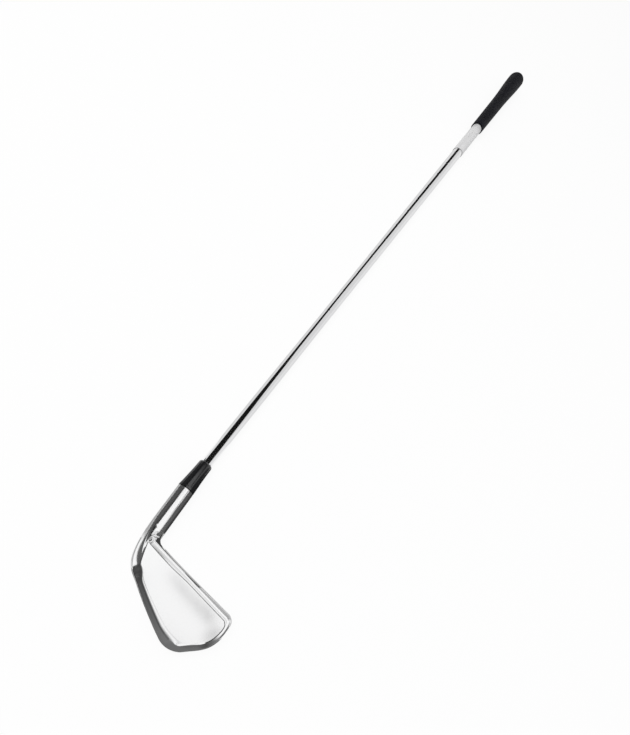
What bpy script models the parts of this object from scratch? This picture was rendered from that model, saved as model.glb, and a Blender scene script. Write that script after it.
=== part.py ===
"""Golf iron: a long-iron clubhead with its hosel, ferrule, stepped steel shaft, tip weight,
shaft band, grip tape, rubber grip and butt cap.

The pieces are drawn in the address position: the shaft axis runs through the origin,
x points to the toe, y to the target, z up, millimetres. The club is then laid on its
face side, with its back up, and z = 0 is the surface that it lies on.
"""
import bpy
import bmesh
import math
import numpy as np
from mathutils import Matrix, Vector

MM = 0.001
CLEAR = 0.3              # gap between pieces that are pressed or glued together
SKIN_CLEAR = 0.2         # gap under the thin glued skins

# Clubhead
LIE = math.radians(61.0)
LOFT = math.radians(22.0)
FACE_Y = 3.4             # leading edge ahead of the shaft axis
HOSEL_R = 7.1
HOSEL_TOP = 64.0         # along the shaft axis, from the ground
NECK_FOOT = 30.0
NECK_SET = 1.4           # how far the foot of the neck stands toward the toe
HOSEL_EDGE = 0.4
BORE_DEPTH = 32.0
TOE_TOP = (66.9, 54.4)     # crossing of the top line and the toe line, on the face
TOE_WIDEST = (78.9, 35.7)
TOE_BOTTOM = (65.5, 2.6)
TOE_RADII = (7.0, 31.0, 17.0)
CROTCH = (-0.8, 25.8)
HEEL_X = 7.1
SOLE_RISE = 298.0        # heel to toe radius of the sole
FACE_EDGE_R = 1.0
TOP_R = 3.2
HEEL_TOP_R = 1.4
SOLE_CORNER_R = 2.6
TRAIL_R = 4.0
PANEL_FOOT = (9.4, 12.9)
PANEL_HEAD = (45.0, 5.4)
PANEL_FLARE = 0.03
RIM_TOP = (4.0, 4.0, 3.5, 4.5, 4.8)
RIM_TOE = (3.9, 4.6, 5.2, 5.2)
RIM_SOLE = 3.5
BEVEL_UP = (-1.0, -0.6, -0.1, 0.25, 0.6, 1.0)
BEVEL_TURN = (4.0, 8.0, 22.0, 36.0, 34.0, 29.0)
LIP = 0.7
CORNER_SLIDE = 7.0
HEEL_BEND = 0.3

GROOVES = 13
GROOVE_PITCH = 2.9
GROOVE_WIDTH = 0.9
GROOVE_DEPTH = 0.4

# Shaft, measured along its axis from the ground
TIP_R = 4.7
LOWER_R = 5.1
UPPER_R = 7.1
WALL = 0.42
FERRULE_LEN = 25.2
FERRULE_TOP_R = 5.85
FERRULE_CORNER = 0.7
MOUTH_ABOVE_FERRULE = 677.5
FIRST_STEP = 200.0
STEPS = 12
STEP_PITCH = 34.0
STEP_RISE = 2.0

# Grip
GRIP_LEN = 228.5
GRIP_MOUTH_R = 9.3
GRIP_TAPER = 2.1
GRIP_FLARE = 1.9
GRIP_BUTT_R = GRIP_MOUTH_R + GRIP_TAPER + GRIP_FLARE
CAP_CORNER = 7.5
CAP_LEN = 10.2
VENT_R = 1.2
BAND_LEN = 88.0
SKIN = 0.25

WHEEL = 48               # facets round the turned pieces

# Frame of the head
AXIS = np.array([-math.cos(LIE), 0.0, math.sin(LIE)])
ACROSS = np.array([math.sin(LIE), 0.0, math.cos(LIE)])
BACK = np.array([0.0, -1.0, 0.0])


def clear_scene():
    for ob in list(bpy.data.objects):
        bpy.data.objects.remove(ob, do_unlink=True)


def unit(v):
    v = np.asarray(v, float)
    return v / np.linalg.norm(v)


def smooth(x):
    x = min(max(x, 0.0), 1.0)
    return x * x * (3.0 - 2.0 * x)


def face_point(x, v, t):
    """Point at x along the face, v up the face and t behind it."""
    y = FACE_Y - v * math.sin(LOFT) - t * math.cos(LOFT)
    return np.array([x, y, v * math.cos(LOFT) - t * math.sin(LOFT)])


# Outline of the blade

def rounded_path(corners, radii, arc_steps):
    """Open path through straight runs joined by arcs."""
    pts = [np.array(corners[0], float)]
    for prev, here, nxt, r in zip(corners, corners[1:], corners[2:], radii):
        here = np.array(here, float)
        a = unit(np.array(prev) - here)
        b = unit(np.array(nxt) - here)
        half = 0.5 * math.acos(float(np.clip(a @ b, -1, 1)))
        run = r / math.tan(half)
        centre = here + unit(a + b) * r / math.sin(half)
        p, q = here + a * run - centre, here + b * run - centre
        for i in range(arc_steps + 1):
            f = i / arc_steps
            sweep = math.acos(float(np.clip(p @ q, -r * r, r * r)) / (r * r))
            w0 = math.sin((1 - f) * sweep) / math.sin(sweep)
            w1 = math.sin(f * sweep) / math.sin(sweep)
            pts.append(centre + w0 * p + w1 * q)
    pts.append(np.array(corners[-1], float))
    return np.array(pts)


def blade_path():
    """Crotch, top line, toe and sole, as one dense path on the face."""
    corners = [CROTCH, TOE_TOP, TOE_WIDEST, TOE_BOTTOM, (HEEL_X, 0.0)]
    path = rounded_path(corners, TOE_RADII, 60)
    dense = []
    for p, q in zip(path, path[1:]):
        n = max(1, int(np.linalg.norm(q - p) / 0.25))
        dense += [p + (q - p) * i / n for i in range(n)]
    dense = np.array(dense + [path[-1]])
    lift = np.clip(1.0 - dense[:, 1] / 52.0, 0.0, 1.0) * (dense[:, 0] - 36.0) ** 2 / (2 * SOLE_RISE)
    dense[:, 1] += lift
    return dense


def even_samples(path, n, turn_weight=30.0):
    """n + 1 points of a path, closer together where it turns."""
    step = np.diff(path, axis=0)
    length = np.linalg.norm(step, axis=1)
    heading = np.unwrap(np.arctan2(step[:, 1], step[:, 0]))
    turn = np.abs(np.diff(heading, append=heading[-1]))
    turn = np.convolve(turn, np.ones(9) / 9, mode="same")
    cost = np.concatenate([[0.0], np.cumsum(length + turn_weight * turn)])
    want = np.linspace(0.0, cost[-1], n + 1)
    return np.stack([np.interp(want, cost, path[:, k]) for k in (0, 1)], axis=1)


def blade_outline(rows, cols):
    """Points along the top line, round the toe end and back along the sole."""
    path = blade_path()
    beyond = path[:, 0] > TOE_TOP[0] - 3.0
    split_top = next(i for i in range(len(path)) if beyond[i] and path[i, 1] < 0.97 * TOE_TOP[1])
    split_low = max(i for i in range(len(path)) if beyond[i] and path[i, 1] > 0.41 * TOE_WIDEST[1])
    top = even_samples(path[:split_top + 1], rows - 1)
    end = even_samples(path[split_top:split_low + 1], cols + 1)
    low = even_samples(path[split_low:], rows - 1)
    pts = np.concatenate([top, end[1:-1], low])
    near = [np.argmin(np.linalg.norm(path - p, axis=1)) for p in pts]
    inward = []
    for i in near:
        along = path[min(i + 3, len(path) - 1)] - path[max(i - 3, 0)]
        inward.append(unit((along[1], -along[0])))
    return pts, np.array(inward)


# Profile across the rim of the blade

def panel_depth(x, v):
    """How far the back panel lies behind the face."""
    (v0, t0), (v1, t1) = PANEL_FOOT, PANEL_HEAD
    return t0 + (t1 - t0) * (v - v0) / (v1 - v0) + PANEL_FLARE * (x - TOE_WIDEST[0])


def rim_width(up, x):
    """Width of the rim between the outline and the back panel."""
    top = np.interp(x, (0.0, 14.0, 28.0, 54.0, 66.0), RIM_TOP)
    low = RIM_SOLE + 2.3 * (1.0 - smooth((x - HEEL_X) / 9.0)) + 1.2 * smooth((x - 46.0) / 14.0)
    return np.interp(up, (-0.92, -0.5, -0.1, 0.25, 0.6, 0.95), (top, *RIM_TOE, low))


def rim_profile(place, way, arc_steps):
    """(inward, behind the face) points from the face, over the rim, to the back panel.
    The inward way runs down the face from the top line and up it from the sole."""
    x, up = place[0], way[1]
    sole = max(0.0, up)
    body = smooth((up + 0.6) / 1.6)
    lean = math.atan(sole * math.tan(LOFT))
    r1 = FACE_EDGE_R + (SOLE_CORNER_R - FACE_EDGE_R) * sole ** 2
    width = rim_width(up, x)
    start, stop = math.pi / 2 - lean, math.radians(np.interp(up, BEVEL_UP, BEVEL_TURN))
    top_r = HEEL_TOP_R + (TOP_R - HEEL_TOP_R) * smooth((x - 20.0) / 40.0)
    r2 = min(top_r + (TRAIL_R - top_r) * body, (width - 0.8) / (1.0 - math.sin(stop + lean)))

    # foot of the rim on the panel, and the crest above it
    slope = panel_depth(*way) - panel_depth(0.0, 0.0)
    depth = panel_depth(*(place + way * width / math.cos(lean))) / (1.0 - slope * math.tan(lean))
    foot = np.array([width / math.cos(lean) + depth * math.tan(lean), depth])
    crest = foot + np.array([-0.6 - 0.2 * body, LIP - (LIP + 0.1) * body])

    wall = np.array([math.sin(lean), math.cos(lean)])
    outward = np.array([-math.cos(lean), math.sin(lean)])
    bevel = np.array([-math.sin(stop), math.cos(stop)])
    run = (crest @ bevel + r2 * (outward @ bevel - 1.0)) / (wall @ bevel)
    bulge = 0.12 + 0.2 * sole
    tangent = r1 * math.tan(0.5 * (math.pi / 2 + lean))
    pts = []
    for i in range(arc_steps + 1):
        a = math.radians(270) + (math.radians(-90) - lean) * i / arc_steps
        pts.append((tangent + r1 * math.cos(a), r1 + r1 * math.sin(a)))
    for i in range(1, arc_steps):
        f = i / arc_steps
        pts.append(tuple(wall * (tangent + (run - tangent) * f) + outward * bulge * 4 * f * (1 - f)))
    centre = wall * run - outward * r2
    for i in range(arc_steps + 1):
        a = start + (stop - start) * i / arc_steps
        pts.append((centre[0] - r2 * math.sin(a), centre[1] + r2 * math.cos(a)))
    return pts + [tuple(crest), tuple(foot)]


def patch(heel, toe, top, low, rows, cols):
    """Grid of points stretched between four edges."""
    grid = np.zeros((rows, cols, 3))
    for j in range(rows):
        f = j / (rows - 1)
        for c in range(cols):
            g = c / (cols - 1)
            corner = ((1 - f) * (1 - g) * top[0] + (1 - f) * g * low[0]
                      + f * (1 - g) * top[-1] + f * g * low[-1])
            grid[j, c] = ((1 - f) * heel[c] + f * toe[c] + (1 - g) * top[j] + g * low[j] - corner)
    return grid


def hermite(p0, m0, p1, m1, u):
    return ((2 * u ** 3 - 3 * u ** 2 + 1) * p0 + (u ** 3 - 2 * u ** 2 + u) * m0
            + (3 * u ** 2 - 2 * u ** 3) * p1 + (u ** 3 - u ** 2) * m1)


def hosel_point(phi, s, r):
    """Point round the shaft axis: phi 0 faces the toe, 90 degrees the back."""
    return AXIS * s + r * (math.cos(phi) * ACROSS + math.sin(phi) * BACK)


def head_shape(rows, cols, arc_steps, neck_steps):
    """Vertices and faces of the one-piece clubhead, with its hosel bore."""
    flat, inward = blade_outline(rows, cols)
    n = len(flat)
    profiles = [rim_profile(flat[i], inward[i], arc_steps) for i in range(n)]
    rings = len(profiles[0])
    verts, faces = [], []

    def add(p):
        verts.append(p)
        return len(verts) - 1

    def rim(i, k):
        d, t = profiles[i][k]
        slide = 0.0
        if inward[i][1] < 0:
            slide = CORNER_SLIDE * (1.0 - smooth((flat[i][0] + 1.0) / 15.0)) * (k / (rings - 1)) ** 2
        x = flat[i][0] + inward[i][0] * d + inward[i][1] * slide
        v = flat[i][1] + inward[i][1] * d - inward[i][0] * slide
        t += panel_depth(x, v) - panel_depth(x - inward[i][1] * slide, v + inward[i][0] * slide)
        return np.array([x, v, t])

    rim_id = [[add(face_point(*rim(i, k))) for k in range(rings)] for i in range(n)]
    for i in range(n - 1):
        for k in range(rings - 1):
            faces.append((rim_id[i][k], rim_id[i][k + 1], rim_id[i + 1][k + 1], rim_id[i + 1][k]))

    # back panel
    last = rings - 1
    top = [rim(j, last) for j in range(rows)]
    low = [rim(n - 1 - j, last) for j in range(rows)]
    toe = [rim(rows - 1 + c, last) for c in range(cols + 2)]
    heel = []
    for c in range(cols + 2):
        g = c / (cols + 1)
        p = top[0] + (low[0] - top[0]) * g
        x, v = p[:2] - HEEL_BEND * math.sin(math.pi * g)
        heel.append(np.array([x, v, panel_depth(x, v)]))
    grid = patch(heel, toe, top, low, rows, cols + 2)
    ids = np.zeros((rows, cols + 2), int)
    for j in range(rows):
        for c in range(cols + 2):
            if c == 0:
                ids[j, c] = rim_id[j][last]
            elif c == cols + 1:
                ids[j, c] = rim_id[n - 1 - j][last]
            elif j == rows - 1:
                ids[j, c] = rim_id[rows - 1 + c][last]
            else:
                ids[j, c] = add(face_point(*grid[j, c]))
    for j in range(rows - 1):
        for c in range(cols + 1):
            faces.append((ids[j, c], ids[j, c + 1], ids[j + 1, c + 1], ids[j + 1, c]))

    # face, flat, with its heel edge
    front = []
    for c in range(cols, 0, -1):
        g = c / (cols + 1)
        p = rim(0, 0) + (rim(n - 1, 0) - rim(0, 0)) * g
        p = p + np.array([-2.0, 0.0, 0.0]) * math.sin(math.pi * g)
        front.append(add(face_point(*p)))
    faces.append(tuple([rim_id[i][0] for i in range(n)] + front))

    # neck, from the heel edge of the blade to the hosel
    loop = ([rim_id[0][k] for k in range(rings)] + [int(ids[0, c]) for c in range(1, cols + 1)]
            + [rim_id[n - 1][k] for k in range(rings - 1, -1, -1)] + front)
    marks = (rings, cols, rings, cols)
    spans = ((-32.0, 84.0), (84.0, 140.0), (140.0, 240.0), (240.0, 328.0))
    phis, part = [], []
    for which, (count, (a, b)) in enumerate(zip(marks, spans)):
        for i in range(count):
            if which in (0, 2):
                phis.append(math.radians(a + (b - a) * i / (count - 1)))
            else:
                phis.append(math.radians(a + (b - a) * (i + 1) / (count + 1)))
            part.append((which, i / (count - 1)))
    top_way = -unit(np.array([TOE_TOP[0] - CROTCH[0], TOE_TOP[1] - CROTCH[1]]))
    top_way = face_point(top_way[0], top_way[1], 0.0) - face_point(0.0, 0.0, 0.0)
    low_way = np.array([-1.0, 0.0, 0.0])
    off = -(face_point(0.0, 0.0, 0.0) - face_point(0.0, 0.0, 1.0))
    columns = []
    for vid, phi, (which, f) in zip(loop, phis, part):
        low_share = 0.5 - 0.5 * math.cos(phi)
        behind = max(0.0, math.sin(phi)) ** 2
        s1 = NECK_FOOT + 14.0 * low_share - 8.0 * behind
        lean = NECK_SET / (HOSEL_TOP - NECK_FOOT)
        p0 = verts[vid]
        p1 = hosel_point(phi, s1, HOSEL_R) + ACROSS * lean * (HOSEL_TOP - s1)
        way = unit(top_way * (1 - low_share) + low_way * low_share)
        reach = (8.5 + 31.5 * low_share) * (1.0 - 0.5 * behind)
        lift = 0.0
        if which == 1:
            lift = 0.4
        elif which == 0:
            lift = 0.4 * smooth((f - 0.75) / 0.25)
        elif which == 2:
            lift = 0.4 * smooth((0.25 - f) / 0.25)
        m0 = reach * (way + lift * (1 - 0.6 * low_share) * off)
        m1 = (AXIS - ACROSS * lean) * (8.0 + 46.0 * low_share) * (1.0 - 0.5 * behind)
        column = [vid]
        for k in range(1, neck_steps + 1):
            u = k / neck_steps
            column.append(add(hermite(p0, m0, p1, m1, u)))
        column.append(add(hosel_point(phi, HOSEL_TOP - HOSEL_EDGE, HOSEL_R)))
        column.append(add(hosel_point(phi, HOSEL_TOP, HOSEL_R - HOSEL_EDGE)))
        column.append(add(hosel_point(phi, HOSEL_TOP, TIP_R + CLEAR)))
        column.append(add(hosel_point(phi, HOSEL_TOP - BORE_DEPTH, TIP_R + CLEAR)))
        columns.append(column)
    m = len(columns)
    for i in range(m):
        a, b = columns[i], columns[(i + 1) % m]
        for k in range(len(a) - 1):
            faces.append((a[k], a[k + 1], b[k + 1], b[k]))
    faces.append(tuple(col[-1] for col in columns))
    return np.array(verts), faces


def mesh_object(name, verts, faces, collection):
    mesh = bpy.data.meshes.new(name)
    mesh.from_pydata([tuple(float(c) * MM for c in v) for v in verts], [], faces)
    bm = bmesh.new()
    bm.from_mesh(mesh)
    bmesh.ops.recalc_face_normals(bm, faces=bm.faces)
    bm.to_mesh(mesh)
    bm.free()
    ob = bpy.data.objects.new(name, mesh)
    collection.objects.link(ob)
    return ob


def new_collection(name):
    coll = bpy.data.collections.new(name)
    bpy.context.scene.collection.children.link(coll)
    return coll


# Turned pieces, drawn round local Z; s is the distance along the shaft from the ground

def turned(name, profile, collection, facets=WHEEL, closed=True):
    """Solid of revolution; the profile starts on the inside or the axis, at +X, metres out."""
    mesh = bpy.data.meshes.new(name)
    pts = [(r * MM, 0.0, s * MM) for r, s in profile]
    edges = [(i, i + 1) for i in range(len(pts) - 1)]
    if closed:
        edges.append((len(pts) - 1, 0))
    mesh.from_pydata(pts, edges, [])
    ob = bpy.data.objects.new(name, mesh)
    collection.objects.link(ob)
    screw = ob.modifiers.new("Turn", "SCREW")
    screw.axis = "Z"
    screw.angle = math.tau
    screw.steps = facets
    screw.render_steps = facets
    screw.use_merge_vertices = True
    screw.merge_threshold = 0.00001
    screw.use_smooth_shade = True
    return ob


FERRULE_FROM = HOSEL_TOP + CLEAR
FERRULE_TO = FERRULE_FROM + FERRULE_LEN
MOUTH = FERRULE_TO + MOUTH_ABOVE_FERRULE
BUTT = MOUTH + GRIP_LEN
SHAFT_FROM = HOSEL_TOP - BORE_DEPTH + CLEAR
SPIGOT_LEN = 4.0
SHAFT_TO = BUTT - CAP_LEN - SPIGOT_LEN - 1.0
TAPE_R = UPPER_R + SKIN_CLEAR


def shaft_outside():
    """Radii along the stepped shaft, from the tip to the butt."""
    first = FERRULE_TO + FIRST_STEP
    rise = (UPPER_R - LOWER_R) / STEPS
    pts = [(TIP_R - 0.4, SHAFT_FROM), (TIP_R, SHAFT_FROM + 0.8), (TIP_R, FERRULE_TO + 1.0),
           (LOWER_R, FERRULE_TO + 14.0)]
    for i in range(STEPS):
        at = first + STEP_PITCH * i
        r = LOWER_R + rise * i
        pts += [(r, at), (r + rise, at + STEP_RISE)]
    pts.append((UPPER_R, SHAFT_TO))
    return pts


def make_shaft(coll):
    inside = [(TIP_R - WALL, SHAFT_FROM), (TIP_R - WALL, FERRULE_TO + 1.0),
              (LOWER_R - WALL, FERRULE_TO + 14.0), (LOWER_R - WALL, FERRULE_TO + FIRST_STEP),
              (UPPER_R - WALL, FERRULE_TO + FIRST_STEP + STEPS * STEP_PITCH), (UPPER_R - WALL, SHAFT_TO)]
    return turned("shaft", inside + shaft_outside()[::-1], coll, 32)


def make_ferrule(coll):
    bore = TIP_R + CLEAR
    top = []
    for i in range(5):
        a = math.radians(75 - 75 * i / 4)
        top.append((FERRULE_TOP_R - FERRULE_CORNER + FERRULE_CORNER * math.cos(a),
                    FERRULE_TO - 1.6 + 1.6 * math.sin(a)))
    lip = (bore + 0.1, FERRULE_TO - 0.15)
    side = []
    for i in range(1, 6):
        f = i / 5
        side.append((FERRULE_TOP_R + (HOSEL_R - 0.02 - FERRULE_TOP_R) * f ** 1.5,
                     FERRULE_TO - 1.6 + (FERRULE_FROM + 2.0 - FERRULE_TO) * f))
    side.append((HOSEL_R - 0.3, FERRULE_FROM))
    return turned("ferrule", [(bore, FERRULE_FROM), lip] + top + side, coll, 40)


def make_tip_weight(coll):
    r = TIP_R - WALL - CLEAR
    low, high = SHAFT_FROM + 1.0, SHAFT_FROM + 21.0
    profile = [(0.0, high), (r - 0.5, high), (r, high - 0.5), (r, low + 0.5), (r - 0.5, low), (0.0, low)]
    return turned("tip_weight", profile, coll, 24, closed=False)


def make_sleeve(name, inner, thick, low, high, coll):
    profile = [(inner, low), (inner, high), (inner + thick - 0.05, high), (inner + thick, high - 0.1),
               (inner + thick, low + 0.1), (inner + thick - 0.05, low)]
    return turned(name, profile, coll, 36)


def grip_radius(f):
    """Outer radius along the grip, 0 at the mouth and 1 at the butt."""
    return GRIP_MOUTH_R + GRIP_TAPER * f + GRIP_FLARE * smooth((f - 0.5) / 0.47)


def make_grip(coll):
    bore = TAPE_R + SKIN + SKIN_CLEAR
    top = BUTT - CAP_LEN - CLEAR
    outside = [(GRIP_MOUTH_R - 0.8, MOUTH), (GRIP_MOUTH_R - 0.25, MOUTH + 0.3), (GRIP_MOUTH_R, MOUTH + 1.0)]
    rows = 14
    for i in range(1, rows + 1):
        f = i / rows
        outside.append((grip_radius(f), MOUTH + 1.0 + (top - 2.0 - MOUTH) * f))
    outside.append((GRIP_BUTT_R - 0.3, top))
    return turned("grip_sleeve", [(bore, MOUTH), (bore, top)] + outside[::-1], coll, 44)


def make_cap(coll):
    low = BUTT - CAP_LEN
    spigot = UPPER_R - 0.2
    outside = [(GRIP_BUTT_R - 0.3, low)]
    for i in range(7):
        a = math.radians(90 * i / 6)
        outside.append((GRIP_BUTT_R - CAP_CORNER + CAP_CORNER * math.cos(a),
                        low + 0.3 + (CAP_LEN - 0.3) * math.sin(a)))
    profile = ([(VENT_R, BUTT), (VENT_R, low - SPIGOT_LEN), (spigot - 0.4, low - SPIGOT_LEN),
                (spigot, low - SPIGOT_LEN + 0.4), (spigot, low)] + outside)
    return turned("butt_cap", profile[::-1], coll, 44)


# Score lines

def cut_score_lines(head, cutters):
    """Shallow level lines across the face; each stops short of the top line."""
    bm = bmesh.new()
    slope = (TOE_TOP[1] - CROTCH[1]) / (TOE_TOP[0] - CROTCH[0])
    for i in range(GROOVES):
        v = 5.5 + GROOVE_PITCH * i
        left = max(12.0, CROTCH[0] + (v + 5.5 - CROTCH[1]) / slope)
        right = 58.0
        made = bmesh.ops.create_cube(bm, size=1.0)["verts"]
        for p in made:
            x = left if p.co.x < 0 else right
            deep = GROOVE_DEPTH if p.co.z > 0 else -1.0
            half = GROOVE_WIDTH * (0.35 if p.co.z > 0 else 0.5 + 0.15 / GROOVE_DEPTH)
            q = face_point(x, v + (half if p.co.y > 0 else -half), deep)
            p.co = Vector(q * MM)
    bmesh.ops.recalc_face_normals(bm, faces=bm.faces)
    mesh = bpy.data.meshes.new("score_line_cutters")
    bm.to_mesh(mesh)
    bm.free()
    ob = bpy.data.objects.new("score_line_cutters", mesh)
    ob.hide_render = True
    ob.display_type = "WIRE"
    cutters.objects.link(ob)
    cut = head.modifiers.new("ScoreLines", "BOOLEAN")
    cut.operation = "DIFFERENCE"
    cut.solver = "EXACT"
    cut.object = ob
    return ob


# Resting place

def lying_frame(head_points):
    """Rotation and offset that lay the club on its face: the grip's butt, the hosel
    and the toe end of the leading edge touch the floor."""
    blade = head_points[head_points[:, 0] > 20.0]
    neck = head_points[head_points[:, 0] < 0.0]
    ring = np.array([hosel_point(a, BUTT - CAP_LEN - 2.0, GRIP_BUTT_R)
                     for a in np.linspace(0, math.tau, 353)])
    down = np.array([0.0, 1.0, 0.0])
    for _ in range(12):
        a, b, c = (g[np.argmax(g @ down)] for g in (blade, neck, ring))
        new = unit(np.cross(b - a, c - a))
        down = new if new @ down > 0 else -new
    z = -down
    x = unit(AXIS - (AXIS @ z) * z)
    y = np.cross(z, x)
    return np.array([x, y, z]), (a, b, c)


def material(name, colour, metallic, roughness):
    m = bpy.data.materials.new(name)
    m.use_nodes = True
    m.diffuse_color = (*colour, 1.0)
    p = m.node_tree.nodes["Principled BSDF"]
    p.inputs["Base Color"].default_value = (*colour, 1.0)
    p.inputs["Metallic"].default_value = metallic
    p.inputs["Roughness"].default_value = roughness
    return m


LOOKS = {
    "clubhead": ((0.80, 0.80, 0.81), 1.0, 0.12),
    "ferrule": ((0.015, 0.015, 0.016), 0.0, 0.25),
    "shaft": ((0.86, 0.86, 0.87), 1.0, 0.06),
    "tip_weight": ((0.72, 0.52, 0.22), 1.0, 0.3),
    "shaft_band": ((0.72, 0.73, 0.74), 0.0, 0.35),
    "grip_tape": ((0.80, 0.77, 0.68), 0.0, 0.8),
    "grip_sleeve": ((0.022, 0.023, 0.026), 0.0, 0.7),
    "butt_cap": ((0.018, 0.018, 0.020), 0.0, 0.6),
}


def main():
    clear_scene()
    club = new_collection("golf_iron")
    cutters = new_collection("cutters")
    verts, faces = head_shape(24, 8, 4, 8)
    head = mesh_object("clubhead", verts, faces, club)
    lines = cut_score_lines(head, cutters)
    made = [make_ferrule(club), make_shaft(club), make_tip_weight(club),
            make_sleeve("shaft_band", UPPER_R + CLEAR, SKIN, MOUTH - BAND_LEN - 1.0, MOUTH - 1.0, club),
            make_sleeve("grip_tape", TAPE_R, SKIN, MOUTH + 6.0, SHAFT_TO, club),
            make_grip(club), make_cap(club)]

    turn, _ = lying_frame(verts)
    along = Matrix([[ACROSS[i], -BACK[i], AXIS[i]] for i in range(3)]).to_4x4()
    lay = Matrix([list(r) for r in turn]).to_4x4()
    for ob in (head, lines):
        ob.matrix_world = lay
    for ob in made:
        ob.matrix_world = lay @ along
    bpy.context.view_layer.update()

    graph = bpy.context.evaluated_depsgraph_get()
    pts = []
    for ob in [head] + made:
        shape = ob.evaluated_get(graph)
        pts += [shape.matrix_world @ p.co for p in shape.data.vertices]
    low = [min(p[i] for p in pts) for i in range(3)]
    high = [max(p[i] for p in pts) for i in range(3)]
    shift = Matrix.Translation((-(low[0] + high[0]) / 2, -(low[1] + high[1]) / 2, -low[2]))
    for ob in [head, lines] + made:
        ob.matrix_world = shift @ ob.matrix_world

    for ob in [head] + made:
        ob.data.materials.clear()
        ob.data.materials.append(material(ob.name, *LOOKS[ob.name]))
    for poly in head.data.polygons:
        poly.use_smooth = True
    bpy.context.view_layer.update()


main()
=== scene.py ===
import bpy
import bmesh
import math
import numpy as np
from mathutils import Matrix, Vector


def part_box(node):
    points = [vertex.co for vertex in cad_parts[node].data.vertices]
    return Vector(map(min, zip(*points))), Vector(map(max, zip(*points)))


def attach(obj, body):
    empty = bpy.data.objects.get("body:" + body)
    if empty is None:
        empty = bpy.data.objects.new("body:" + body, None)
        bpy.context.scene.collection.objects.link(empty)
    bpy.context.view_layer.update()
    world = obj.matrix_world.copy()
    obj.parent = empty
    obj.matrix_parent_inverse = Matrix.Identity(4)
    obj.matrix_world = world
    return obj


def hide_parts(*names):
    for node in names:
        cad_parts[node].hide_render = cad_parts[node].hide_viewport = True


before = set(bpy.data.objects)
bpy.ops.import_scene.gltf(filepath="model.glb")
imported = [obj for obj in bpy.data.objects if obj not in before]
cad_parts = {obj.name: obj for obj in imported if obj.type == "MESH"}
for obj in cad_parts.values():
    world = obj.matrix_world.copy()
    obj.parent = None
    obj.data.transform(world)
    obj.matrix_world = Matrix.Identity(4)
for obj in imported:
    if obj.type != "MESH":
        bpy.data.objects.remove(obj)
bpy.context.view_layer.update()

MM = 0.001

# Clubhead, millimetres in the address position: x to the toe, y to the target, z up
LIE = math.radians(61.0)
LOFT = math.radians(22.0)
FACE_Y = 3.4
HOSEL_R = 7.1
HOSEL_TOP = 64.0
NECK_FOOT = 30.0
NECK_SET = 1.4
HOSEL_EDGE = 0.4
BORE_R = 5.0
BORE_DEPTH = 32.0
TOE_TOP = (66.9, 54.4)
TOE_WIDEST = (78.9, 35.7)
TOE_BOTTOM = (65.5, 2.6)
TOE_RADII = (7.0, 31.0, 17.0)
CROTCH = (-0.8, 25.8)
HEEL_X = 7.1
SOLE_RISE = 298.0
FACE_EDGE_R = 1.0
TOP_R = 3.2
HEEL_TOP_R = 1.4
SOLE_CORNER_R = 2.6
TRAIL_R = 4.0
PANEL_FOOT = (9.4, 12.9)
PANEL_HEAD = (45.0, 5.4)
PANEL_FLARE = 0.03
RIM_TOP = (4.0, 4.0, 3.5, 4.5, 4.8)
RIM_TOE = (3.9, 4.6, 5.2, 5.2)
RIM_SOLE = 3.5
BEVEL_UP = (-1.0, -0.6, -0.1, 0.25, 0.6, 1.0)
BEVEL_TURN = (4.0, 8.0, 22.0, 36.0, 34.0, 29.0)
LIP = 0.7
CORNER_SLIDE = 7.0
HEEL_BEND = 0.3
GROOVES = 13
GROOVE_PITCH = 2.9
GROOVE_WIDTH = 0.9
GROOVE_DEPTH = 0.4
FIRST_GROOVE = 5.5       # up the face
GROOVE_HEEL = 12.0
GROOVE_TOE = 58.0

# Turned pieces, radius and distance up the shaft from the ground
CLEAR = 0.3              # gap between pieces that are pressed or glued together
SKIN_CLEAR = 0.2         # gap under the thin glued skins
SKIN = 0.25              # band film and grip tape
FERRULE_FROM = HOSEL_TOP + CLEAR
FERRULE_TO = 89.5
FERRULE_TOP_R = 5.85
TIP_R = 4.7
LOWER_R = 5.1
UPPER_R = 7.1
WALL = 0.42
TIP_TAPER = 90.0
FIRST_STEP = 200.0
STEPS = 12
STEP_PITCH = 34.0
STEP_RISE = 2.0
MOUTH = 767.0
GRIP_LEN = 228.5
BUTT = MOUTH + GRIP_LEN
GRIP_MOUTH_R = 9.3
GRIP_TAPER = 2.1
GRIP_FLARE = 1.9
GRIP_BUTT_R = GRIP_MOUTH_R + GRIP_TAPER + GRIP_FLARE
CAP_CORNER = 7.5
CAP_LEN = 10.2
SPIGOT_LEN = 4.0
VENT_R = 1.2
SHAFT_FROM = HOSEL_TOP - BORE_DEPTH + CLEAR
SHAFT_TO = BUTT - CAP_LEN - SPIGOT_LEN - 1.0
WEIGHT_LEN = 20.0
BAND_LEN = 88.0
BAND_TO = MOUTH - 1.0
TAPE_FROM = MOUTH + 6.0

AXIS = np.array([-math.cos(LIE), 0.0, math.sin(LIE)])
ACROSS = np.array([math.sin(LIE), 0.0, math.cos(LIE)])
BACK = np.array([0.0, -1.0, 0.0])


def unit(v):
    v = np.asarray(v, float)
    return v / np.linalg.norm(v)


def smooth(x):
    x = min(max(x, 0.0), 1.0)
    return x * x * (3.0 - 2.0 * x)


def face_point(x, v, t):
    """Point at x along the face, v up the face and t behind it."""
    y = FACE_Y - v * math.sin(LOFT) - t * math.cos(LOFT)
    return np.array([x, y, v * math.cos(LOFT) - t * math.sin(LOFT)])


# Outline of the blade

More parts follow.
